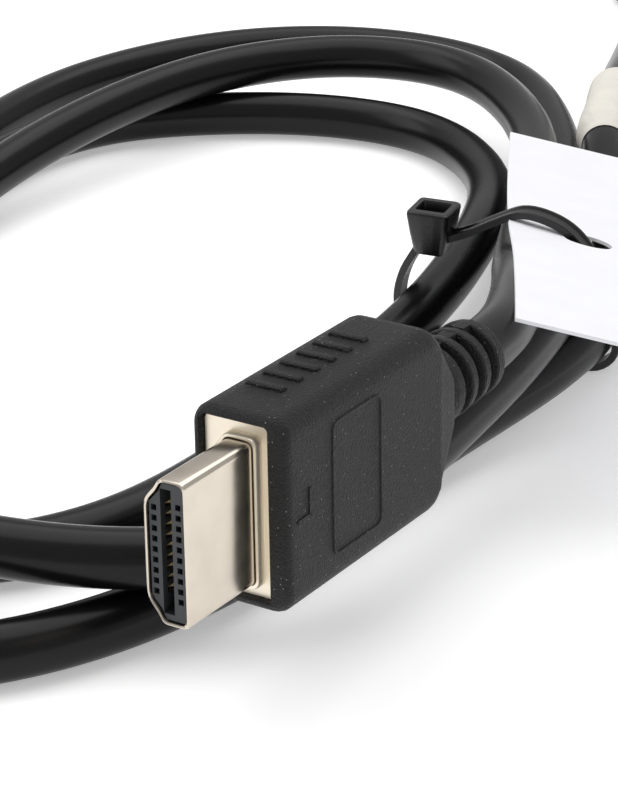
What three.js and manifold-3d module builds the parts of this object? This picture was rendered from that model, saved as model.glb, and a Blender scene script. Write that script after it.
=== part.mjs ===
// A coiled video lead: a round black cable with a 19 pin plug at each end, held by a cable tie with a
// blank card tag, and a band of paper tape near the end that leaves the coil.
// Millimetres, +Z up. The coil lies on the floor and its long axis is near +Y.

import * as THREE from 'three';
import { mergeVertices } from 'three/addons/utils/BufferGeometryUtils.js';
import Module from 'manifold-3d';

const wasm = await Module();
wasm.setup();

// Gaps: between pieces that touch, and inside the plug where the pieces are small
const GAP = 0.3;
const FIT = 0.1;

// Cable
const CABLE_DIAMETER = 6;
const CABLE_SIDES = 12;
const CABLE_STEPS = 80;

// Overmould, lying with its wide face up: length along X, width along Y, thickness along Z
const BODY_LENGTH = 31;
const BODY_WIDTH = 18.9;
const BODY_THICK = 9;
const BODY_CORNER = 1.4;
const BODY_REAR_WIDTH = 8.1;
const BODY_REAR_TAPER = 5.1;
const RIM_WALL = 1;
const POCKET_DEPTH = 2.6;

// Six grip bars on each narrow side
const BAR_COUNT = 6;
const BAR_FIRST = 6.1;
const BAR_PITCH = 2.74;
const BAR_WIDTH = 1;
const BAR_LENGTH = 4;
const BAR_HEIGHT = 0.35;

// Strain relief: a ribbed sleeve with three grooves, each crossed by two webs
const RELIEF_LENGTH = 11;
const RELIEF_DIAMETER = 8.6;
const RELIEF_END_DIAMETER = 7.9;
const GROOVE_COUNT = 3;
const GROOVE_FIRST = 2.6;
const GROOVE_PITCH = 2.7;
const GROOVE_WIDTH = 1.2;
const GROOVE_DEPTH = 1;
const WEB_WIDTH = 1.6;

// Metal shell of the plug, D shaped: full width on the wide side, narrower on the other
const SHELL_WIDTH = 13.9;
const SHELL_THICK = 4.45;
const SHELL_NARROW_WIDTH = 9.4;
const SHELL_SIDE_HEIGHT = 2.775;
const SHELL_STEP_WIDTH = 12;
const SHELL_STEP_HEIGHT = 3.325;
const SHELL_WALL = 0.35;
const SHELL_REACH = 10.5;

// Flange plate that fills the mouth of the overmould, with a collar round the shell
const FLANGE_DEPTH = 1.4;
const FLANGE_THICK = 1;
const COLLAR_WALL = 0.5;
const COLLAR_REACH = 1.7;

// Contact carrier inside the shell
const CARRIER_SETBACK = 0.3;
const SLOT_WIDTH = 11.9;
const SLOT_THICK = 1.15;
const SLOT_DEPTH = 7;
const BRIDGE_THICK = 0.7;
const CAVITY_SIZE = 0.56;
const CAVITY_LENGTH = 9;
const CAVITY_OUTER = 1.56;

// Contacts: ten on the wide side, nine on the other, 1 mm apart
const CONTACT_PITCH = 1;
const ROW_WIDE = 10;
const ROW_NARROW = 9;
const CONTACT_WIDTH = 0.34;
const CONTACT_THICK = 0.2;
const CONTACT_BULGE = 0.3;

// The coil's mean line is an oval, and each pass lies out from it or up from the floor by the
// amounts below, read at equal angles round it, anticlockwise from the side that the tie holds
const OVAL_HALF_WIDTH = 46;
const OVAL_HALF_LENGTH = 86;
const OVAL_LEAN = THREE.MathUtils.degToRad(16.3);
const STATIONS = 16;
const FLOOR = CABLE_DIAMETER / 2 + 0.1;
const OVER = FLOOR + CABLE_DIAMETER + 0.2;
const TURNS = [
  {
    out: [-3.4, -5.6, -3, -2, -5.5, -12, -14.5, -11, -9.8, -10.7, -12.5, -15, -18, -22, -25, -22],
    up: [12.9, 10.4, OVER, OVER, 8.8, OVER, 8.6, 6, 3.8, FLOOR, FLOOR, FLOOR, FLOOR, FLOOR, FLOOR, FLOOR],
  },
  {
    out: [-15, -12.8, -11, -12, -15.5, -12.8, -4, -3.4, -3.2, -3.6, -4.6, -8, -12, -4, 4.5, 3],
    up: [5.2, 6.2, 4, FLOOR, FLOOR, FLOOR, FLOOR, FLOOR, FLOOR, FLOOR, 4, 7.2, OVER, OVER + 0.4, 8.6, 10.4],
  },
  {
    out: [2.4, -1.6, 4.5, 15, 16, 16.4, 13.6, 4.2, 3.3, 3.6, 4, 3.4, 3.5, -0.6, -4.6, -4.1],
    up: [10.3, 4, FLOOR, FLOOR, FLOOR, FLOOR, FLOOR, FLOOR, FLOOR, FLOOR, FLOOR, FLOOR, FLOOR, FLOOR, FLOOR, FLOOR],
  },
  {
    out: [4.8],
    up: [4.3],
  },
];

// The stretch from the first plug down onto the coil, and the free end that leaves it
const LEAD_IN = [[38, -43.5, 19.8], [39.8, -30, 18]];
const TAIL = [
  [54.6, 6, 4.5], [55.2, 16, 5.8], [55.1, 26, 8.2], [55.2, 35, 9.5], [57, 47, 9.6],
  [60, 62.6, 8.8], [64.4, 84, 6.4],
];
const TAIL_END = [70.4, 112, 4.6];
const TAIL_HEADING = THREE.MathUtils.degToRad(75);

// First plug: it stands on its narrow side on the near turns, nose towards the front left
const PLUG_A_RIM = [10.4, -91.5, 22.3];
const PLUG_A_HEADING = THREE.MathUtils.degToRad(57);
const PLUG_A_PITCH = THREE.MathUtils.degToRad(1.15);
const PLUG_A_LEAN = THREE.MathUtils.degToRad(88.2);

// Cable tie round the bundle, drawn in its own plane: along it and up
const TIE_WIDTH = 2.5;
const TIE_THICK = 0.9;
const TIE_HEAD = [5, 5.2, 5.4];
const TIE_HEAD_HOLE = [2.6, 1.6];
const TIE_PLACE = [30.6, -4.4];
const TIE_HEADING = THREE.MathUtils.degToRad(-21.8);
const TIE_ROUTE = [
  [3, 13.2], [5.5, 15.4], [8.5, 17.2], [11.8, 18.3], [15, 17.9], [17.8, 16.6], [20, 14.3], [21.8, 11.4],
  [23.1, 8.4], [23.8, 5.4], [23.6, 2.4], [21.8, 0.8], [18.5, 0.6], [12, 0.6], [4, 0.6], [0.5, 0.9],
  [-2.3, 2.8], [-3, 5.6], [-2.4, 8.4], [-0.6, 10.6],
];

// Card tag: its long side runs along the strands, bent up where it crosses the first plug's cable
const TAG_WIDTH = 44;
const TAG_THICK = 0.4;
const TAG_SLOPE = THREE.MathUtils.degToRad(12.6);
const TAG_TURN = THREE.MathUtils.degToRad(4.9);
const TAG_PLACE = [36.5, -4];
const TAG_PROFILE = [
  [-49, 24.6], [-40, 23.8], [-27, 22.2], [-19, 20.7], [-6, 17.9], [8, 16], [21, 15.2], [32, 15.1],
];
const TAG_HOLE = [9.2, -6.7];
const TAG_HOLE_DIAMETER = 5.8;

// Paper tape wrapped round the free end
const TAPE_LENGTH = 27;
const TAPE_THICK = 0.8;
const TAPE_FROM_END = 50;
const TAPE_STEPS = [74, 79];

const JACKET = new THREE.MeshStandardMaterial({ color: 0x19191b, roughness: 0.42, metalness: 0 });
const MOULDED = new THREE.MeshStandardMaterial({ color: 0x1d1d1f, roughness: 0.68, metalness: 0 });
const NICKEL = new THREE.MeshStandardMaterial({ color: 0xb9b1a6, roughness: 0.3, metalness: 1 });
const CARRIER = new THREE.MeshStandardMaterial({ color: 0x55585c, roughness: 0.6, metalness: 0 });
const GOLD = new THREE.MeshStandardMaterial({ color: 0xd8b45c, roughness: 0.25, metalness: 1 });
const NYLON = new THREE.MeshStandardMaterial({ color: 0x17171a, roughness: 0.38, metalness: 0 });
const CARD = new THREE.MeshStandardMaterial({ color: 0xf1f1f4, roughness: 0.75, metalness: 0 });
const PAPER = new THREE.MeshStandardMaterial({ color: 0xe0dcd3, roughness: 0.85, metalness: 0 });

// Joining and cutting

function solid(geometry) {
  const bare = geometry.index ? geometry.toNonIndexed() : geometry.clone();
  bare.deleteAttribute('normal');
  bare.deleteAttribute('uv');
  const merged = mergeVertices(bare, 1e-4);
  return new wasm.Manifold(new wasm.Mesh({
    numProp: 3,
    vertProperties: new Float32Array(merged.attributes.position.array),
    triVerts: new Uint32Array(merged.index.array),
  }));
}

function geometryOf(manifold) {
  const mesh = manifold.getMesh();
  const geometry = new THREE.BufferGeometry();
  geometry.setAttribute('position', new THREE.BufferAttribute(new Float32Array(mesh.vertProperties), 3));
  geometry.setIndex(new THREE.BufferAttribute(new Uint32Array(mesh.triVerts), 1));
  geometry.computeVertexNormals();
  return geometry;
}

function box(from, to) {
  const size = to.map((high, k) => high - from[k]);
  const middle = to.map((high, k) => (high + from[k]) / 2);
  return solid(new THREE.BoxGeometry(...size).translate(...middle));
}

// A flat outline in Y and Z, carried along X from one place to another
function alongX(shape, from, to, curveSegments = 6) {
  const geometry = new THREE.ExtrudeGeometry(shape, { depth: to - from, bevelEnabled: false, curveSegments });
  geometry.applyMatrix4(new THREE.Matrix4().set(0, 0, 1, from, 1, 0, 0, 0, 0, 1, 0, 0, 0, 0, 0, 1));
  return geometry;
}

// A flat outline in X and Y, raised from one height to another
function upwards(shape, from, to) {
  return new THREE.ExtrudeGeometry(shape, { depth: to - from, bevelEnabled: false, curveSegments: 6 })
    .translate(0, 0, from);
}

function polygon(points) {
  return new THREE.Shape(points.map((p) => new THREE.Vector2(...p)));
}

function roundedRectangle(width, height, radius) {
  const shape = new THREE.Shape();
  const [x, y] = [width / 2, height / 2];
  shape.moveTo(-x + radius, -y);
  shape.lineTo(x - radius, -y);
  shape.absarc(x - radius, -y + radius, radius, -Math.PI / 2, 0);
  shape.lineTo(x, y - radius);
  shape.absarc(x - radius, y - radius, radius, 0, Math.PI / 2);
  shape.lineTo(-x + radius, y);
  shape.absarc(-x + radius, y - radius, radius, Math.PI / 2, Math.PI);
  shape.lineTo(-x, -y + radius);
  shape.absarc(-x + radius, -y + radius, radius, Math.PI, Math.PI * 1.5);
  return shape;
}

// The shell's D outline, grown outwards or shrunk inwards by an even margin
function shellOutline(margin) {
  const top = SHELL_THICK / 2;
  const sideEnd = top - SHELL_SIDE_HEIGHT;
  const stepEnd = top - SHELL_STEP_HEIGHT;
  const half = [
    [SHELL_WIDTH / 2 + margin, top + margin],
    [SHELL_WIDTH / 2 + margin, sideEnd - margin * 0.5],
    [SHELL_STEP_WIDTH / 2 + margin * 0.8, stepEnd - margin * 0.8],
    [SHELL_NARROW_WIDTH / 2 + margin * 0.5, -SHELL_THICK / 2 - margin],
  ];
  const mirrored = half.map(([y, z]) => [-y, z]).reverse();
  return polygon([...half, ...mirrored].reverse());
}

// Plug pieces. X runs back from the mouth of the overmould, Y across its width, Z out of its wide face

function overmould() {
  const half = BODY_WIDTH / 2;
  const rear = BODY_LENGTH - BODY_REAR_TAPER;
  const plan = polygon([
    [0, -half - BAR_HEIGHT], [rear, -half - BAR_HEIGHT], [rear, -half], [BODY_LENGTH, -BODY_REAR_WIDTH / 2],
    [BODY_LENGTH, BODY_REAR_WIDTH / 2], [rear, half], [rear, half + BAR_HEIGHT], [0, half + BAR_HEIGHT],
  ]);
  const block = solid(alongX(roundedRectangle(BODY_WIDTH, BODY_THICK, BODY_CORNER), 0, BODY_LENGTH));
  let body = block.intersect(solid(upwards(plan, -BODY_THICK, BODY_THICK)));
  for (const side of [-1, 1]) {
    for (let i = 0; i < BAR_COUNT; i += 1) {
      const x = BAR_FIRST + i * BAR_PITCH;
      const edge = side * half;
      const [low, high] = [edge - side, edge + side * BAR_HEIGHT].sort((a, b) => a - b);
      body = body.add(box([x - BAR_WIDTH / 2, low, -BAR_LENGTH / 2], [x + BAR_WIDTH / 2, high, BAR_LENGTH / 2]));
    }
  }
  const pocket = [BODY_WIDTH / 2 - RIM_WALL, BODY_THICK / 2 - RIM_WALL];
  body = body.subtract(box([-1, -pocket[0], -pocket[1]], [POCKET_DEPTH, pocket[0], pocket[1]]));
  return body.add(strainRelief());
}

function strainRelief() {
  const [start, end] = [RELIEF_DIAMETER / 2, RELIEF_END_DIAMETER / 2];
  const radiusAt = (x) => start + (end - start) * (x / RELIEF_LENGTH);
  const profile = [[0, -1], [start, -1]];
  for (let i = 0; i < GROOVE_COUNT; i += 1) {
    const x = GROOVE_FIRST + i * GROOVE_PITCH;
    profile.push([radiusAt(x), x], [radiusAt(x) - GROOVE_DEPTH, x]);
    profile.push([radiusAt(x) - GROOVE_DEPTH, x + GROOVE_WIDTH], [radiusAt(x), x + GROOVE_WIDTH]);
  }
  profile.push([end, RELIEF_LENGTH - 0.5], [end - 0.5, RELIEF_LENGTH], [0, RELIEF_LENGTH]);
  const turned = new THREE.LatheGeometry(profile.map((p) => new THREE.Vector2(...p)), 28);
  turned.rotateZ(-Math.PI / 2).translate(BODY_LENGTH, 0, 0);
  const grooves = [GROOVE_FIRST, GROOVE_FIRST + (GROOVE_COUNT - 1) * GROOVE_PITCH + GROOVE_WIDTH];
  const reach = radiusAt(grooves[1]) - 0.15;
  const web = box(
    [BODY_LENGTH + grooves[0] - 0.2, -reach, -WEB_WIDTH / 2],
    [BODY_LENGTH + grooves[1] + 0.2, reach, WEB_WIDTH / 2],
  );
  return solid(turned).add(web);
}

function shell() {
  const [from, to] = [-SHELL_REACH, FLANGE_DEPTH + FLANGE_THICK];
  return solid(alongX(shellOutline(0), from, to))
    .subtract(solid(alongX(shellOutline(-SHELL_WALL), from - 1, to + 1)));
}

function flange() {
  const width = BODY_WIDTH - 2 * (RIM_WALL + FIT);
  const thick = BODY_THICK - 2 * (RIM_WALL + FIT);
  const plate = solid(alongX(roundedRectangle(width, thick, 0.3), FLANGE_DEPTH, FLANGE_DEPTH + FLANGE_THICK, 2));
  const collar = solid(alongX(shellOutline(FIT + COLLAR_WALL), FLANGE_DEPTH - COLLAR_REACH, FLANGE_DEPTH + 0.2));
  const opening = solid(alongX(shellOutline(FIT), FLANGE_DEPTH - COLLAR_REACH - 1, FLANGE_DEPTH + FLANGE_THICK + 1));
  return plate.add(collar).subtract(opening);
}

// Places of one row of contacts across the plug, centred on it
function rowPlaces(count) {
  return Array.from({ length: count }, (_, i) => (count - 1) / 2 * CONTACT_PITCH - i * CONTACT_PITCH);
}

const ROWS = [
  { side: 1, places: rowPlaces(ROW_WIDE) },
  { side: -1, places: rowPlaces(ROW_NARROW) },
];
const CARRIER_FRONT = CARRIER_SETBACK - SHELL_REACH;

function carrier() {
  const back = FLANGE_DEPTH + FLANGE_THICK;
  let body = solid(alongX(shellOutline(-SHELL_WALL - FIT), CARRIER_FRONT, back));
  const cuts = [box(
    [CARRIER_FRONT - 1, -SLOT_WIDTH / 2, -SLOT_THICK / 2],
    [CARRIER_FRONT + SLOT_DEPTH, SLOT_WIDTH / 2, SLOT_THICK / 2],
  )];
  for (const { side, places } of ROWS) {
    for (const y of places) {
      const across = [y - CAVITY_SIZE / 2, y + CAVITY_SIZE / 2];
      const outer = side * CAVITY_OUTER;
      const inner = side * (CAVITY_OUTER - CAVITY_SIZE);
      const hole = [outer, inner].sort((a, b) => a - b);
      const groove = [outer, 0].sort((a, b) => a - b);
      cuts.push(box(
        [CARRIER_FRONT - 1, across[0], hole[0]],
        [CARRIER_FRONT + CAVITY_LENGTH, across[1], hole[1]],
      ));
      cuts.push(box(
        [CARRIER_FRONT + BRIDGE_THICK, across[0], groove[0]],
        [CARRIER_FRONT + SLOT_DEPTH, across[1], groove[1]],
      ));
    }
  }
  body = body.subtract(wasm.Manifold.union(cuts));
  return body;
}

// A contact is one bent strip: flat in its groove, with a hump that stands out into the slot
function contact(side, y) {
  const rest = CAVITY_OUTER - FIT - CONTACT_THICK / 2;
  const hump = CONTACT_BULGE;
  const line = [
    [BRIDGE_THICK + FIT, rest], [BRIDGE_THICK + 0.5, rest], [BRIDGE_THICK + 1.5, hump], [BRIDGE_THICK + 2.1, hump],
    [BRIDGE_THICK + 4.2, rest], [CAVITY_LENGTH - FIT, rest],
  ];
  const half = CONTACT_THICK / 2;
  const outline = [
    ...line.map(([x, z]) => [CARRIER_FRONT + x, z + half]),
    ...line.map(([x, z]) => [CARRIER_FRONT + x, z - half]).reverse(),
  ].map(([x, z]) => [x, side * z]);
  const shape = polygon(side > 0 ? outline.reverse() : outline);
  const strip = new THREE.ExtrudeGeometry(shape, { depth: CONTACT_WIDTH, bevelEnabled: false });
  strip.translate(0, 0, -CONTACT_WIDTH / 2).rotateX(Math.PI / 2).translate(0, y, 0);
  return strip;
}

function plug(end) {
  const group = new THREE.Group();
  const add = (name, geometry, material) => {
    const mesh = new THREE.Mesh(geometry, material);
    mesh.name = `${name}_${end}`;
    group.add(mesh);
  };
  add('overmould', geometryOf(overmould()), MOULDED);
  add('shell', geometryOf(shell()), NICKEL);
  add('flange', geometryOf(flange()), NICKEL);
  add('contact_carrier', geometryOf(carrier()), CARRIER);
  for (const { side, places } of ROWS) {
    places.forEach((y, i) => {
      const number = side > 0 ? 2 * i + 1 : 2 * i + 2;
      add(`contact_${String(number).padStart(2, '0')}`, contact(side, y), GOLD);
    });
  }
  return group;
}

// Places of the two plugs

const PLUG_REACH = BODY_LENGTH + RELIEF_LENGTH + GAP;

const plugA = plug('a');
plugA.position.set(...PLUG_A_RIM);
plugA.rotation.set(PLUG_A_LEAN, PLUG_A_PITCH, PLUG_A_HEADING, 'ZYX');
plugA.updateMatrixWorld();
const exitA = plugA.localToWorld(new THREE.Vector3(PLUG_REACH, 0, 0));
const straightA = plugA.localToWorld(new THREE.Vector3(PLUG_REACH + 5, 0, 0));

const plugB = plug('b');
const tailDirection = new THREE.Vector3(Math.cos(TAIL_HEADING), Math.sin(TAIL_HEADING), 0);
const exitB = new THREE.Vector3(...TAIL_END);
const straightB = exitB.clone().addScaledVector(tailDirection, -5);
plugB.position.copy(exitB).addScaledVector(tailDirection, PLUG_REACH);
plugB.rotation.z = TAIL_HEADING + Math.PI;

// Cable route

function station(angle, out, up) {
  const [a, b] = [OVAL_HALF_WIDTH * Math.cos(angle), OVAL_HALF_LENGTH * Math.sin(angle)];
  const mean = new THREE.Vector3(
    a * Math.cos(OVAL_LEAN) + b * Math.sin(OVAL_LEAN),
    b * Math.cos(OVAL_LEAN) - a * Math.sin(OVAL_LEAN),
    0,
  );
  return mean.addScaledVector(mean.clone().normalize(), out).setZ(up);
}

const coilPoints = TURNS.flatMap(({ out, up }) => out.map(
  (distance, k) => station(k * 2 * Math.PI / STATIONS, distance, up[k]),
));
const route = new THREE.CatmullRomCurve3([
  exitA, straightA,
  ...LEAD_IN.map((p) => new THREE.Vector3(...p)),
  ...coilPoints,
  ...TAIL.map((p) => new THREE.Vector3(...p)),
  straightB, exitB,
], false, 'centripetal');
route.arcLengthDivisions = 2000;

function ring(radius, sides) {
  const corners = Array.from({ length: sides }, (_, i) => [
    radius * Math.cos(i * 2 * Math.PI / sides),
    radius * Math.sin(i * 2 * Math.PI / sides),
  ]);
  return polygon(corners);
}

function tube(radius) {
  return new THREE.ExtrudeGeometry(ring(radius, CABLE_SIDES), {
    extrudePath: route, steps: CABLE_STEPS, bevelEnabled: false,
  });
}

// The tape follows the cable's own steps, so it is a wider tube along them, bored and cut to length
function tape() {
  const steps = new THREE.CurvePath();
  for (let k = TAPE_STEPS[0]; k < TAPE_STEPS[1]; k += 1) {
    steps.add(new THREE.LineCurve3(route.getPointAt(k / CABLE_STEPS), route.getPointAt((k + 1) / CABLE_STEPS)));
  }
  const along = (radius) => solid(new THREE.ExtrudeGeometry(ring(radius, 2 * CABLE_SIDES), {
    extrudePath: steps, steps: TAPE_STEPS[1] - TAPE_STEPS[0], bevelEnabled: false,
  }));
  const at = 1 - (TAPE_FROM_END + TAPE_LENGTH / 2) / route.getLength();
  const middle = route.getPointAt(at);
  const slice = new THREE.BoxGeometry(TAPE_LENGTH, 30, 30);
  slice.applyQuaternion(new THREE.Quaternion().setFromUnitVectors(
    new THREE.Vector3(1, 0, 0),
    route.getTangentAt(at),
  ));
  slice.translate(middle.x, middle.y, middle.z);
  const inner = CABLE_DIAMETER / 2 + GAP;
  return along(inner + TAPE_THICK).subtract(along(inner)).intersect(solid(slice));
}

// The strap and its head are one moulding: the strap is a flat band along its route
function cableTie() {
  const line = new THREE.CatmullRomCurve3(TIE_ROUTE.map(([s, z]) => new THREE.Vector3(s, z, 0)));
  const middle = line.getSpacedPoints(60);
  const sides = [1, -1].map((side) => middle.map((p, i) => {
    const [before, after] = [middle[Math.max(i - 1, 0)], middle[Math.min(i + 1, middle.length - 1)]];
    const normal = new THREE.Vector2(before.y - after.y, after.x - before.x).normalize();
    return [p.x + side * normal.x * TIE_THICK / 2, p.y + side * normal.y * TIE_THICK / 2];
  }));
  const band = polygon([...sides[0], ...sides[1].reverse()]);
  const strap = new THREE.ExtrudeGeometry(band, { depth: TIE_WIDTH, bevelEnabled: false });
  strap.translate(0, 0, -TIE_WIDTH / 2);
  const [length, height, width] = TIE_HEAD;
  const [headX, headY] = [TIE_ROUTE[0][0] - length / 2 + 0.5, TIE_ROUTE[0][1] - 0.5];
  const head = box(
    [headX - length / 2, headY - height / 2, -width / 2],
    [headX + length / 2, headY + height / 2, width / 2],
  );
  const [holeLength, holeDepth] = TIE_HEAD_HOLE;
  const hole = box(
    [headX - holeLength / 2, headY + height / 2 - holeDepth, -TIE_WIDTH / 2 + 0.4],
    [headX + holeLength / 2, headY + height, TIE_WIDTH / 2 - 0.4],
  );
  const geometry = geometryOf(solid(strap).add(head).subtract(hole));
  return geometry.rotateX(Math.PI / 2);
}

function hangTag() {
  const line = new THREE.CatmullRomCurve3(TAG_PROFILE.map(([y, z]) => new THREE.Vector3(y, z, 0)));
  const middle = line.getSpacedPoints(14);
  const outline = polygon([
    ...middle.map((p) => [p.x, p.y - TAG_THICK / 2]),
    ...middle.map((p) => [p.x, p.y + TAG_THICK / 2]).reverse(),
  ]);
  const sheet = new THREE.ExtrudeGeometry(outline, { depth: TAG_WIDTH, bevelEnabled: false });
  sheet.applyMatrix4(new THREE.Matrix4().set(0, 0, 1, 0, 1, 0, 0, 0, 0, 1, 0, 0, 0, 0, 0, 1));
  const [x, y] = TAG_HOLE;
  const hole = new THREE.CylinderGeometry(TAG_HOLE_DIAMETER / 2, TAG_HOLE_DIAMETER / 2, 60, 24);
  hole.rotateX(Math.PI / 2).translate(x, y, 0);
  return geometryOf(solid(sheet).subtract(solid(hole)));
}

const part = new THREE.Group();
part.add(plugA, plugB);

const cableMesh = new THREE.Mesh(tube(CABLE_DIAMETER / 2), JACKET);
cableMesh.name = 'cable';
const tapeMesh = new THREE.Mesh(geometryOf(tape()), PAPER);
tapeMesh.name = 'paper_tape';
const tieMesh = new THREE.Mesh(cableTie(), NYLON);
tieMesh.name = 'cable_tie';
tieMesh.position.set(...TIE_PLACE, 0);
tieMesh.rotation.z = TIE_HEADING;
const tagMesh = new THREE.Mesh(hangTag(), CARD);
tagMesh.name = 'hang_tag';
tagMesh.position.set(...TAG_PLACE, 0);
tagMesh.rotation.set(0, TAG_SLOPE, -TAG_TURN, 'ZYX');
part.add(cableMesh, tapeMesh, tieMesh, tagMesh);

// The whole stands on the floor with the middle of its box at the origin
part.updateMatrixWorld(true);
const bounds = new THREE.Box3().setFromObject(part, true);
part.position.set(-(bounds.min.x + bounds.max.x) / 2, -(bounds.min.y + bounds.max.y) / 2, -bounds.min.z);

export default part;
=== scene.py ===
import bpy
import numpy as np
from math import cos, sin, pi, radians
from mathutils import Matrix, Vector


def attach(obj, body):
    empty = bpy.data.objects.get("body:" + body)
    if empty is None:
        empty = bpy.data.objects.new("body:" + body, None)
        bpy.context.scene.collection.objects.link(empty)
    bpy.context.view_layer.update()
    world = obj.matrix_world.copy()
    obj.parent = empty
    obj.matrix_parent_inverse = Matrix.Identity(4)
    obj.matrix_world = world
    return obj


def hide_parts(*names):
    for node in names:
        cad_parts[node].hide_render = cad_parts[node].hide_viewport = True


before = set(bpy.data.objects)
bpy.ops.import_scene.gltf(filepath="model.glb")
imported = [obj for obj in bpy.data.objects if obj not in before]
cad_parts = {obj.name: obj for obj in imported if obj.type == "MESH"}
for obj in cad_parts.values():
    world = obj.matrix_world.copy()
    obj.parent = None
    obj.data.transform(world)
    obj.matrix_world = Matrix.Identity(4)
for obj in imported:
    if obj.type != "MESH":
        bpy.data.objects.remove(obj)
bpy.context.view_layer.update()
MM = 0.001

# All shapes below are in millimetres, and most of them in a frame whose origin is the middle of the coil's oval.
# OFFSET moves that frame to the part's own.
OFFSET = np.array([-17.175, -31.525, 0])


# Meshes are gathered in millimetres, as quads and caps, and turned into one object at the end
class Shape:
    def __init__(self):
        self.points = []
        self.faces = []

    def rings(self, rings, closed=True, caps=(True, True)):
        """Joins equal rings of points one after the other; a cap closes the first or the last."""
        rings = [np.asarray(r, float) for r in rings]
        start = len(self.points)
        count = len(rings[0])
        for ring in rings:
            self.points.extend(ring.tolist())
        last = count if closed else count - 1
        for k in range(len(rings) - 1):
            a = start + k * count
            for i in range(last):
                j = (i + 1) % count
                self.faces.append((a + i, a + j, a + count + j, a + count + i))
        if caps[0]:
            self.faces.append(tuple(range(start + count - 1, start - 1, -1)))
        if caps[1]:
            end = start + (len(rings) - 1) * count
            self.faces.append(tuple(range(end, end + count)))

    def build(self, name, material, matrix=None, angle=35, slot=None, replaces=()):
        points = np.array(self.points, float)
        if matrix is not None:
            points = points @ matrix[:, :3].T + matrix[:, 3]
        mesh = bpy.data.meshes.new(name)
        mesh.from_pydata((points * MM).tolist(), [], self.faces)
        mesh.update()
        mesh.polygons.foreach_set("use_smooth", [True] * len(mesh.polygons))
        mesh.set_sharp_from_angle(angle=radians(angle))
        piece = bpy.data.objects.new(name, mesh)
        bpy.context.scene.collection.objects.link(piece)
        mesh.materials.append(material)
        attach(piece, "root")
        if replaces:
            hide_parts(*replaces)
        return piece


def linear(hex_colour):
    channels = [int(hex_colour[i:i + 2], 16) / 255 for i in (0, 2, 4)]
    return [c / 12.92 if c <= 0.04045 else ((c + 0.055) / 1.055) ** 2.4 for c in channels] + [1]


def node(tree, kind, inputs=None, **settings):
    made = tree.nodes.new(kind)
    for key, value in settings.items():
        setattr(made, key, value)
    for key, value in (inputs or {}).items():
        socket = made.inputs[key]
        if isinstance(value, bpy.types.NodeSocket):
            tree.links.new(value, socket)
        else:
            socket.default_value = value
    return made


def surface(name, dark, light, rough, metallic=0.0, grain=0.5, relief=0.0, relief_size=0.3, ior=1.5, uneven=0.08,
            painted_glints=0.0):
    """A surface whose colour and gloss vary with a noise of that grain, in mm, over a fine bumpy relief.

    The size of the pale specks, painted glints of the sandy grain, is given as a share of their 0.7 mm spacing.
    """
    material = bpy.data.materials.new(name)
    material.use_nodes = True
    tree = material.node_tree
    shader = tree.nodes["Principled BSDF"]
    place = node(tree, "ShaderNodeTexCoord").outputs["Object"]
    noise = node(tree, "ShaderNodeTexNoise", {"Vector": place, "Scale": 1 / (grain * MM), "Detail": 4.0})
    colour = node(tree, "ShaderNodeMix", {0: noise.outputs["Fac"], 6: linear(dark), 7: linear(light)},
                  data_type="RGBA").outputs[2]
    # Pale specks scattered evenly over the surface: painted glints of its sandy grain.
    if painted_glints:
        cells = node(tree, "ShaderNodeTexVoronoi", {"Vector": place, "Scale": 1 / (0.7 * MM)})
        speck = node(tree, "ShaderNodeMath", {0: cells.outputs["Distance"], 1: painted_glints}, operation="LESS_THAN")
        colour = node(tree, "ShaderNodeMix", {0: speck.outputs[0], 6: colour, 7: linear("8a8a8a")},
                      data_type="RGBA").outputs[2]
    tree.links.new(colour, shader.inputs["Base Color"])
    gloss = node(tree, "ShaderNodeMapRange", {"Value": noise.outputs["Fac"], "To Min": rough - uneven,
                                              "To Max": rough + uneven})
    tree.links.new(gloss.outputs["Result"], shader.inputs["Roughness"])
    shader.inputs["Metallic"].default_value = metallic
    shader.inputs["IOR"].default_value = ior
    if relief:
        fine = node(tree, "ShaderNodeTexNoise", {"Vector": place, "Scale": 1 / (relief_size * MM), "Detail": 2.0})
        bump = node(tree, "ShaderNodeBump", {"Height": fine.outputs["Fac"], "Strength": 1.0,
                                             "Distance": relief * MM})
        tree.links.new(bump.outputs["Normal"], shader.inputs["Normal"])
    return material


# Camera: where the photo was taken from, in millimetres from the middle of the oval.
# It was found by fitting the plug's metal shell, whose size is a standard.
CAMERA_HEIGHT = 139.5
CAMERA_BACK = (17.0, -320.0)
CAMERA_DOWN = 25.0
camera_data = bpy.data.cameras.new("camera")
camera_data.lens = 130.5
camera_data.sensor_width = 36
camera_data.clip_start = 0.01
camera = bpy.data.objects.new("camera", camera_data)
camera.location = Vector(np.array([*CAMERA_BACK, CAMERA_HEIGHT]) + OFFSET) * MM
camera.rotation_euler = (radians(90 - CAMERA_DOWN), 0, 0)
bpy.context.scene.collection.objects.link(camera)
bpy.context.scene.camera = camera

# Materials, each named for what the real piece is made of and coloured as in the photo.
# The moulded plugs have a sandy spark-eroded finish, with pale specks painted on as glints of the grain; the
# jacket is smooth and half glossy.
JACKET = surface("black_pvc_jacket", "080809", "0e0e0f", 0.27, grain=30, relief=0.004, relief_size=0.5,
                 uneven=0.03, ior=1.31)
MOULDED = surface("black_textured_pvc", "0c0c0d", "151516", 0.5, grain=0.5, relief=0.3, relief_size=0.2, ior=1.4,
                  painted_glints=0.085)
NICKEL = surface("nickel_plated_steel", "c2b8aa", "d6cdc0", 0.2, metallic=1, grain=2.5, uneven=0.05)
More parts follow.
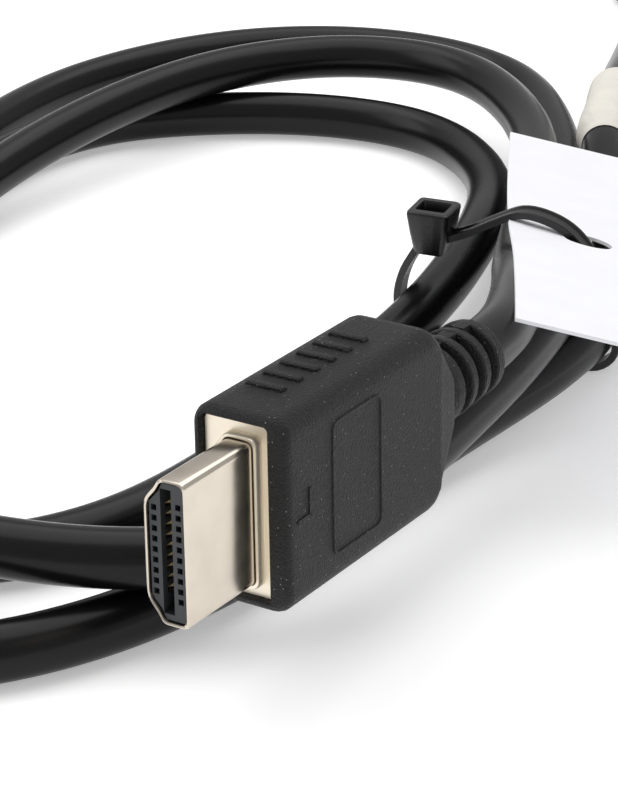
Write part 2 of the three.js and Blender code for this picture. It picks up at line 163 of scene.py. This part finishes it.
# The flange plate keeps the warm tone of its plating, but is painted lighter than the shell's nickel as painted
# light, against the shade in the mouth of the overmould.
PLATE_PAINTED_LIGHT = surface("nickel_flange_painted_light", "e2d8c6", "efe6d6", 0.42, metallic=1, grain=1.5, uneven=0.05)
CARRIER = surface("dark_grey_moulding", "26282a", "303235", 0.5, grain=0.8)
GOLD = surface("gold_plated_copper", "e0c489", "f0dcae", 0.3, metallic=1, grain=0.6)
NYLON = surface("black_nylon", "09090a", "101012", 0.28, grain=2, relief=0.01, relief_size=0.8)
CARD = surface("white_card", "eeeef2", "f6f6f9", 0.6, grain=6, relief=0.004, relief_size=0.25)
PAPER = surface("paper_tape", "d6d2c8", "e6e2d9", 0.8, grain=3, relief=0.3, relief_size=2.2)

# Plug: its sizes, in its own frame, with X back from the mouth of the overmould, Y across and Z out of the
# wide face. The wide face stands FACE_EXTRA further out than the back face, measured from the shell.
BODY_LENGTH, BODY_WIDTH, BODY_THICK = 31.0, 18.9, 9.0
RELIEF_LENGTH = 11.0
EDGE = 2.0
FACE_EXTRA = 1.2
PLUG_REACH = BODY_LENGTH + RELIEF_LENGTH + 0.3


def turn(axis, angle):
    return np.array(Matrix.Rotation(angle, 3, axis))


TAIL_END = np.array([70.4, 112.0, 4.6])
TAIL_HEADING = radians(75)
TAIL_WAY = np.array([cos(TAIL_HEADING), sin(TAIL_HEADING), 0])
ROTATION_A = turn("Z", radians(57)) @ turn("Y", radians(1.15)) @ turn("X", radians(88.2))
PLUG_A = np.column_stack([ROTATION_A, np.array([10.4, -91.5, 22.3]) + OFFSET])
ROTATION_B = turn("Z", TAIL_HEADING + pi)
PLUG_B = np.column_stack([ROTATION_B, TAIL_END + TAIL_WAY * PLUG_REACH + OFFSET])

# Cable: three passes round an oval, each lying out from it and up from the floor by the amounts
# below at sixteen equal angles, then the tail. The first stretch comes down from the near plug.
# It is a smooth round jacket, with the print left off.
CABLE_DIAMETER = 6.0
OVAL = (46.0, 86.0, radians(16.3))
FLOOR = 3.1
OVER = 9.3
OUT = [
    [-3.4, -5.6, -3, -2, -5.5, -12, -14.5, -11, -9.8, -10.7, -12.5, -15, -18, -22, -25, -22],
    [-15, -12.8, -11, -12, -15.5, -12.8, -4, -3.4, -3.2, -3.6, -4.6, -8, -12, -4, 4.5, 3],
    [2.4, -1.6, 4.5, 15, 16, 16.4, 13.6, 4.2, 3.3, 3.6, 4, 3.4, 3.5, -0.6, -4.6, -4.1],
    [4.8],
]
UP = [
    [12.9, 10.4, OVER, OVER, 8.8, OVER, 8.6, 6, 3.8] + [FLOOR] * 7,
    [5.2, 6.2, 4] + [FLOOR] * 7 + [4, 7.2, OVER, OVER + 0.4, 8.6, 10.4],
    [10.3, 4] + [FLOOR] * 14,
    [4.3],
]
LEAD_IN = [[38, -43.5, 19.8], [39.8, -30, 18]]
TAIL = [
    [54.6, 6, 4.5], [55.2, 16, 5.8], [55.1, 26, 8.2], [55.2, 35, 9.5], [57, 47, 9.6],
    [60, 62.6, 8.8], [64.4, 84, 6.4],
]


def station(angle, out, up):
    across, along, lean = OVAL
    a, b = across * cos(angle), along * sin(angle)
    mean = np.array([a * cos(lean) + b * sin(lean), b * cos(lean) - a * sin(lean), 0])
    point = mean * (1 + out / np.linalg.norm(mean))
    point[2] = up
    return point


def spline(points, spacing):
    """A centripetal Catmull-Rom curve through the points, at an even spacing."""
    points = [np.asarray(p, float) for p in points]
    points = [2 * points[0] - points[1]] + points + [2 * points[-1] - points[-2]]
    fine = []
    for p0, p1, p2, p3 in zip(points, points[1:], points[2:], points[3:]):
        t1 = np.linalg.norm(p1 - p0) ** 0.5
        t2 = t1 + np.linalg.norm(p2 - p1) ** 0.5
        t3 = t2 + np.linalg.norm(p3 - p2) ** 0.5
        for t in np.linspace(t1, t2, 24, endpoint=False):
            a1 = (t1 - t) / t1 * p0 + t / t1 * p1
            a2 = (t2 - t) / (t2 - t1) * p1 + (t - t1) / (t2 - t1) * p2
            a3 = (t3 - t) / (t3 - t2) * p2 + (t - t2) / (t3 - t2) * p3
            b1 = (t2 - t) / t2 * a1 + t / t2 * a2
            b2 = (t3 - t) / (t3 - t1) * a2 + (t - t1) / (t3 - t1) * a3
            fine.append((t2 - t) / (t2 - t1) * b1 + (t - t1) / (t2 - t1) * b2)
    fine.append(points[-2])
    return even(np.array(fine), spacing)


def even(line, spacing):
    steps = np.linalg.norm(np.diff(line, axis=0), axis=1)
    along = np.concatenate([[0], np.cumsum(steps)])
    places = np.linspace(0, along[-1], int(round(along[-1] / spacing)) + 1)
    return np.column_stack([np.interp(places, along, line[:, k]) for k in range(3)])


def smooth(line, width):
    """Evens out the line over that many points, with its ends kept."""
    reach = 3 * width
    weights = np.exp(-0.5 * (np.arange(-reach, reach + 1) / width) ** 2)
    weights /= weights.sum()
    before = 2 * line[0] - line[reach:0:-1]
    after = 2 * line[-1] - line[-2:-reach - 2:-1]
    padded = np.vstack([before, line, after])
    return np.column_stack([np.convolve(padded[:, k], weights, "valid") for k in range(3)])


def tube(line, radii, sides):
    """Rings round a line, without twist; radii is one value, or one for each point."""
    line = np.asarray(line, float)
    radii = np.broadcast_to(radii, len(line))
    ways = np.gradient(line, axis=0)
    ways /= np.linalg.norm(ways, axis=1)[:, None]
    side = np.cross(ways[0], [0, 0, 1])
    rings = []
    for point, way, radius in zip(line, ways, radii):
        side = side - way * (side @ way)
        side /= np.linalg.norm(side)
        other = np.cross(way, side)
        angles = np.arange(sides) * 2 * pi / sides
        rings.append(point + radius * (np.outer(np.cos(angles), side) + np.outer(np.sin(angles), other)))
    return rings


exit_a = PLUG_A[:, :3] @ [PLUG_REACH, 0, 0] + PLUG_A[:, 3] - OFFSET
straight_a = PLUG_A[:, :3] @ [PLUG_REACH + 5, 0, 0] + PLUG_A[:, 3] - OFFSET
coil = [
    station(k * pi / 8, out, up)
    for outs, ups in zip(OUT, UP) for k, (out, up) in enumerate(zip(outs, ups))
]
route = spline([exit_a, straight_a, *LEAD_IN, *coil, *TAIL, TAIL_END - 5 * TAIL_WAY, TAIL_END], 1.5) + OFFSET
route = smooth(route, 4)
length = np.linalg.norm(np.diff(route, axis=0), axis=1).sum()
print("cable length", round(length, 1))
cable_shape = Shape()
cable_shape.rings(tube(route, CABLE_DIAMETER / 2, 24))
cable = cable_shape.build("jacket", JACKET, slot="jacket", replaces=["cable"])


# Overmould: a rounded block with a mouth for the flange, tapered at the back into the strain relief.
# Its narrow sides have six raised grip bars, and its wide face has a bare frame and an angle mark.
def rounded(width, thick, radius, per_corner=7, per_side=9):
    """A rounded rectangle in Y and Z, counted round from the middle of its right side."""
    corners = []
    for cy, cz, start in ((1, 1, 0), (-1, 1, 90), (-1, -1, 180), (1, -1, 270)):
        centre = np.array([cy * (width / 2 - radius), cz * (thick / 2 - radius)])
        angles = np.radians(start + np.linspace(0, 90, per_corner))
        corners.append(centre + radius * np.column_stack([np.cos(angles), np.sin(angles)]))
    points = []
    for k, corner in enumerate(corners):
        points.extend(corner)
        following = corners[(k + 1) % 4][0]
        for t in np.linspace(0, 1, per_side + 2)[1:-1]:
            points.append(corner[-1] + t * (following - corner[-1]))
    return np.array(points)


def at(x, outline, lift=0.0):
    return np.column_stack([np.full(len(outline), x), outline + [0, lift]])


def overmould():
    shape = Shape()
    width, thick = BODY_WIDTH, BODY_THICK
    rings = []
    for x, inset in ((2.6, 1.06), (1.4, 1.03), (0.4, 1.0), (0.15, 0.95), (0.02, 0.8)):
        rings.append(at(x, rounded(width - 2 * inset, thick - 2 * inset, 0.45)))
    thick = BODY_THICK + FACE_EXTRA
    lift = FACE_EXTRA / 2
    for x, inset in ((0.05, 0.55), (0.2, 0.3), (0.45, 0.1), (0.8, 0)):
        rings.append(at(x, rounded(width - 2 * inset, thick - 2 * inset, EDGE), lift))
    for x in np.linspace(2, 24.8, 12):
        rings.append(at(x, rounded(width, thick, EDGE), lift))
    for x, taken in ((25.5, 0.12), (25.9, 0.35), (26.4, 0.85)):
        rings.append(at(x, rounded(width - 2 * taken, thick, EDGE), lift))
    for t in np.linspace(0.2, 1, 6):
        narrow = width - 2 * (0.35 + 4.9 * t)
        rings.append(at(25.9 + 4.6 * t, rounded(narrow, thick - 1.2 * t, EDGE + 0.3 * t), lift * (1 - 0.7 * t)))
    rings.append(at(30.85, rounded(8.0, 8.6, 2.6), 0.1))
    rings.append(at(31.0, rounded(7.4, 7.7, 2.9)))
    angles = [np.arctan2(z, y) for y, z in rounded(8, 8, 3.9)]
    circle = np.column_stack([np.cos(angles), np.sin(angles)])
    profile = [(31.0, 3.75), (31.6, 4.1), (32.2, 4.3), (33.2, 4.3)]
    for k in range(3):
        x = 33.6 + 2.7 * k
        r = 4.3 - 0.13 * k
        profile += [(x - 0.25, r), (x - 0.05, r - 0.12), (x, r - 0.3), (x, r - 1), (x + 1.2, r - 1),
                    (x + 1.2, r - 0.3), (x + 1.25, r - 0.12), (x + 1.45, r)]
    profile += [(41.5, 3.95), (41.85, 3.85), (42, 3.6), (42, 3.05)]
    for x, r in profile:
        rings.append(at(x, circle * r))
    shape.rings(rings, caps=(True, True))
    for side in (-1, 1):
        for k in range(6):
            x = 6.1 + 2.74 * k
            bar = [(x - 0.5, 9.3), (x - 0.45, 9.68), (x - 0.3, 9.8), (x + 0.3, 9.8), (x + 0.45, 9.68),
                   (x + 0.5, 9.3)]
            ends = [(-2.5, 0.35), (-2.4, 0.1), (-2.25, 0), (1.3, 0), (1.45, 0.1), (1.55, 0.35)]
            rings = [[(bx, side * max(by - less, 9.3), z) for bx, by in bar] for z, less in ends]
            shape.rings(rings if side > 0 else rings[::-1])
    frame_line = rounded(13.0, 8.1, 0.8, 5, 3)[:, ::-1] * [1, -1] + [11.4, 0.3]
    middle = np.array([11.4, 0.3])
    section = [(-0.22, -0.1), (-0.14, 0.08), (-0.05, 0.12), (0.05, 0.12), (0.14, 0.08), (0.22, -0.1)]
    face = BODY_THICK / 2 + FACE_EXTRA
    ridge = []
    for point in [*frame_line, frame_line[0]]:
        out = np.sign(point - middle) * (np.abs(point - middle) > [3.2, 5.6])
        out = out / np.linalg.norm(out)
        ridge.append([[*(point + out * d), face + z] for d, z in section])
    shape.rings(ridge, caps=(False, False))
    for (x0, x1), (y0, y1) in (((1.5, 3.7), (-0.75, -0.4)), ((3.35, 3.7), (-0.75, 2.1))):
        stroke = [(x0, y0), (x1, y0), (x1, y1), (x0, y1)]
        shape.rings([[[x, y, z] for x, y in stroke] for z in (face - 0.1, face + 0.1)])
    for k in range(3):
        x = 33.6 + 2.7 * k
        for side in (-1, 1):
            web = [at(px, np.array([(3.0, -0.8), (4.05, -0.75), (4.05, 0.75), (3.0, 0.8)]) * [side, side])
                   for px in (x - 0.1, x + 1.3)]
            shape.rings(web)
    return shape


for end, matrix in (("a", PLUG_A), ("b", PLUG_B)):
    overmould().build(f"overmould_body_{end}", MOULDED, matrix, slot="overmould", replaces=[f"overmould_{end}"])


# Shell: the bright D shaped sleeve with rounded corners and a rolled front lip.
# Its outside is the standard 13.9 x 4.45 mm.
def d_outline(margin, radius, per_corner=6):
    corners = [
        (6.95 + margin, 2.225 + margin), (-6.95 - margin, 2.225 + margin),
        (-6.95 - margin, -0.55 - margin * 0.5), (-6.0 - margin * 0.8, -1.1 - margin * 0.8),
        (-4.7 - margin * 0.5, -2.225 - margin), (4.7 + margin * 0.5, -2.225 - margin),
        (6.0 + margin * 0.8, -1.1 - margin * 0.8), (6.95 + margin, -0.55 - margin * 0.5),
    ]
    corners = [np.array(c) for c in corners]
    points = []
    for k, corner in enumerate(corners):
        before, after = corners[k - 1], corners[(k + 1) % len(corners)]
        back = (before - corner) / np.linalg.norm(before - corner)
        ahead = (after - corner) / np.linalg.norm(after - corner)
        reach = min(radius, 0.45 * np.linalg.norm(before - corner), 0.45 * np.linalg.norm(after - corner))
        start, stop = corner + back * reach, corner + ahead * reach
        for t in np.linspace(0, 1, per_corner):
            points.append((1 - t) ** 2 * start + 2 * t * (1 - t) * corner + t ** 2 * stop)
    return np.array(points)


def shell():
    shape = Shape()
    rings = [at(x, d_outline(m, 0.7)) for x, m in ((2.4, -0.33), (-10.2, -0.33), (-10.42, -0.28), (-10.5, -0.17),
                                                   (-10.42, -0.05), (-10.2, 0), (2.4, 0))]
    shape.rings(rings, caps=(False, False))
    return shape


# Flange: the plate in the mouth of the overmould and its collar round the shell.
# The collar's lip stands a little out of the mouth.
def flange():
    shape = Shape()
    collar = [(0.7, 0.42), (-0.15, 0.4), (-0.28, 0.34), (-0.3, 0.24), (-0.28, 0.12), (-0.1, 0.07), (2.2, 0.07)]
    shape.rings([at(x, d_outline(m, 0.9)) for x, m in collar], caps=(False, False))
    angles = np.arctan2(*d_outline(0.42, 0.9).T[::-1])
    outer = []
    for angle in angles:
        y, z = cos(angle), sin(angle)
        outer.append(np.array([y, z]) * min(8.4 / max(abs(y), 1e-6), 3.4 / max(abs(z), 1e-6)))
    shape.rings([at(0.7, d_outline(0.42, 0.9)), at(0.7, np.array(outer))], caps=(False, False))
    return shape


# Both plugs are alike. Their dark carriers and gold contacts are carried over from the CAD, with new surfaces.
for end, matrix in (("a", PLUG_A), ("b", PLUG_B)):
    shell().build(f"shell_sleeve_{end}", NICKEL, matrix, slot="nickel", replaces=[f"shell_{end}"])
    flange().build(f"flange_plate_{end}", PLATE_PAINTED_LIGHT, matrix, slot="nickel", replaces=[f"flange_{end}"])
    for name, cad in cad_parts.items():
        if name.startswith("contact_") and name.endswith("_" + end):
            cad.data.materials.clear()
            cad.data.materials.append(CARRIER if "carrier" in name else GOLD)

# Cable tie: a flat strap with raised edges round the bundle, and a head with an open cavity.
# Its route is given along and up, in the upright plane that it lies in.
TIE_PLACE = np.array([30.6, -4.4, 0]) + OFFSET
TIE_HEADING = radians(-21.8)
TIE_ROUTE = [
    [2.8, 13.8], [5.5, 15], [8.5, 16.7], [11.8, 18.2], [15, 17.9], [17.8, 16.6], [20, 14.3], [21.8, 11.4],
    [23.1, 8.4], [23.8, 5.4], [23.6, 2.4], [21.8, 0.8], [18.5, 0.6], [12, 0.6], [4, 0.6], [0.5, 0.9],
    [-2.3, 2.8], [-3, 5.6], [-2.4, 8.9], [-0.6, 12.4],
]
TIE_MATRIX = np.column_stack([turn("Z", TIE_HEADING), TIE_PLACE])
strap = spline([[s, 0, z] for s, z in TIE_ROUTE], 0.7)
SECTION = [(-1.25, -0.42), (-1.25, 0.36), (-1.15, 0.45), (-0.85, 0.45), (-0.7, 0.25), (0.7, 0.25), (0.85, 0.45),
           (1.15, 0.45), (1.25, 0.36), (1.25, -0.42)]
tie_shape = Shape()
rings = []
for point, way in zip(strap, np.gradient(strap, axis=0)):
    way = way / np.linalg.norm(way)
    normal = np.array([-way[2], 0, way[0]])
    rings.append([point + np.array([0, 1, 0]) * y + normal * h for y, h in SECTION])
tie_shape.rings(rings[::-1])
head = [
    (11.9, 3.4, 3.6, 0.7), (12.2, 3.8, 4.0, 0.7), (14.6, 4.6, 4.7, 0.6), (16.9, 5.2, 5.2, 0.5),
    (17.2, 5.1, 5.1, 0.5), (17.35, 4.8, 4.8, 0.5), (17.35, 3.6, 3.2, 0.3),
    (17.1, 3.4, 3.0, 0.3), (14.2, 3.0, 2.6, 0.3),
]
rings = []
for z, long, wide, radius in head:
    outline = rounded(long, wide, radius, 4, 2)
    rings.append(np.column_stack([outline[:, 0] + 1, outline[:, 1], np.full(len(outline), z)]))
tie_shape.rings(rings)
tie_shape.build("nylon_tie", NYLON, TIE_MATRIX, slot="nylon", replaces=["cable_tie"])

# Paper tape: one strip wound round the tail, slightly uneven, thinning out onto the jacket at both ends.
# It has a matt, crumpled surface.
along = np.linalg.norm(np.diff(route, axis=0), axis=1)
left = length - np.concatenate([[0], np.cumsum(along)])
on_tape = route[(left < 77) & (left > 50)]
wave = 3.75 + 0.12 * np.sin(np.linspace(0, 9, len(on_tape)))
wave[:2] = [3.1, 3.45]
wave[-2:] = [3.45, 3.1]
tape_shape = Shape()
outer = tube(on_tape, wave, 40)
inner = tube(on_tape, 3.05, 40)
tape_shape.rings(inner[:1] + outer + inner[-1:], caps=(False, False))
tape = tape_shape.build("tape_wrap", PAPER, slot="paper_tape", replaces=["paper_tape"])

# Hang tag: one bent card, carried over from the CAD with a new surface.
# The strap passes through its hole, and it is blank.
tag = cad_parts["hang_tag"]
tag.data.materials.clear()
tag.data.materials.append(CARD)

# Floor and light: a pale floor that glows faintly, like a lit sweep, so that shadows stay light.
# A wide lamp hangs overhead, and a smaller one stands at the left.
floor_mesh = bpy.data.meshes.new("floor")
floor_mesh.from_pydata([(-3, -3, 0), (3, -3, 0), (3, 3, 0), (-3, 3, 0)], [], [(0, 1, 2, 3)])
floor = bpy.data.objects.new("floor", floor_mesh)
bpy.context.scene.collection.objects.link(floor)
sweep = surface("white_sweep", "f4f4f4", "f8f8f8", 0.7, grain=60)
sweep.node_tree.nodes["Principled BSDF"].inputs["Emission Color"].default_value = (1, 1, 1, 1)
sweep.node_tree.nodes["Principled BSDF"].inputs["Emission Strength"].default_value = 0.35
floor_mesh.materials.append(sweep)

world = bpy.data.worlds.new("studio")
world.use_nodes = True
world.node_tree.nodes["Background"].inputs["Color"].default_value = (1, 1, 1, 1)
world.node_tree.nodes["Background"].inputs["Strength"].default_value = 0.55
bpy.context.scene.world = world


def lamp(name, place, size, watts):
    data = bpy.data.lights.new(name, "AREA")
    data.shape = "RECTANGLE"
    data.size, data.size_y = size
    data.energy = watts
    made = bpy.data.objects.new(name, data)
    made.location = place
    made.rotation_euler = (Vector((0, 0, 0.01)) - Vector(place)).to_track_quat("-Z", "Y").to_euler()
    bpy.context.scene.collection.objects.link(made)


lamp("overhead", (0.0, 0.35, 1.3), (1.8, 1.6), 14)
lamp("left", (-1.0, 0.1, 0.7), (0.8, 0.8), 3)
bpy.context.scene.view_settings.view_transform = "Standard"
